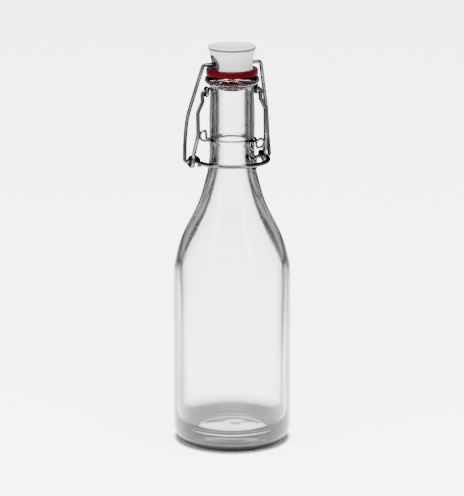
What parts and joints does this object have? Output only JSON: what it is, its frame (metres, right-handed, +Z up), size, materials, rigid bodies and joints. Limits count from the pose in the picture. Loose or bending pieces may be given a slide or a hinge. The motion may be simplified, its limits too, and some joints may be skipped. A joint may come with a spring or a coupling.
{
  "type": "swing top bottle",
  "caption": "Clear glass bottle with a white stopper and red gasket, clamped on the mouth by a hinged wire bail and thumb lever.",
  "frame": {"origin": "centre of the bottle's base, on the surface it stands on", "axes": "+Z up along the bottle's axis, -Y toward the lever's thumb bar at the front, +X to the right seen from the front"},
  "size_m": [0.0604, 0.0604, 0.207],
  "materials": {
    "clear_glass": "clear polished soda glass",
    "white_plastic": "glossy white",
    "red_rubber": "smooth moulded",
    "steel_wire": "bright drawn wire"
  },
  "bodies": {
    "bottle_body": {"bottle": "clear_glass", "neck_hanger": "steel_wire", "neck_tie": "steel_wire"},
    "lever": {"lever": "steel_wire"},
    "bail": {"bail": "steel_wire"},
    "stopper": {"stopper_cap": "white_plastic", "gasket": "red_rubber"}
  },
  "joints": [
    {"name": "lever_hinge", "type": "hinge", "parent": "bottle_body", "child": "lever", "pos_m": [0, 0.001, 0.184], "axis": [-1, 0, 0], "range_deg": [0, 160]},
    {"name": "bail_hinge", "type": "hinge", "parent": "lever", "child": "bail", "pos_m": [0, 0.007, 0.147], "axis": [-1, 0, 0], "range_deg": [-48, 0]},
    {"name": "stopper_hinge", "type": "hinge", "parent": "bail", "child": "stopper", "pos_m": [0, 0, 0.198], "axis": [-1, 0, 0], "range_deg": [-112, 0]}
  ],
  "couplings": [
    {"joint": "bail_hinge", "follows": "lever_hinge", "ratio": -0.3},
    {"joint": "stopper_hinge", "follows": "lever_hinge", "ratio": -0.7}
  ]
}
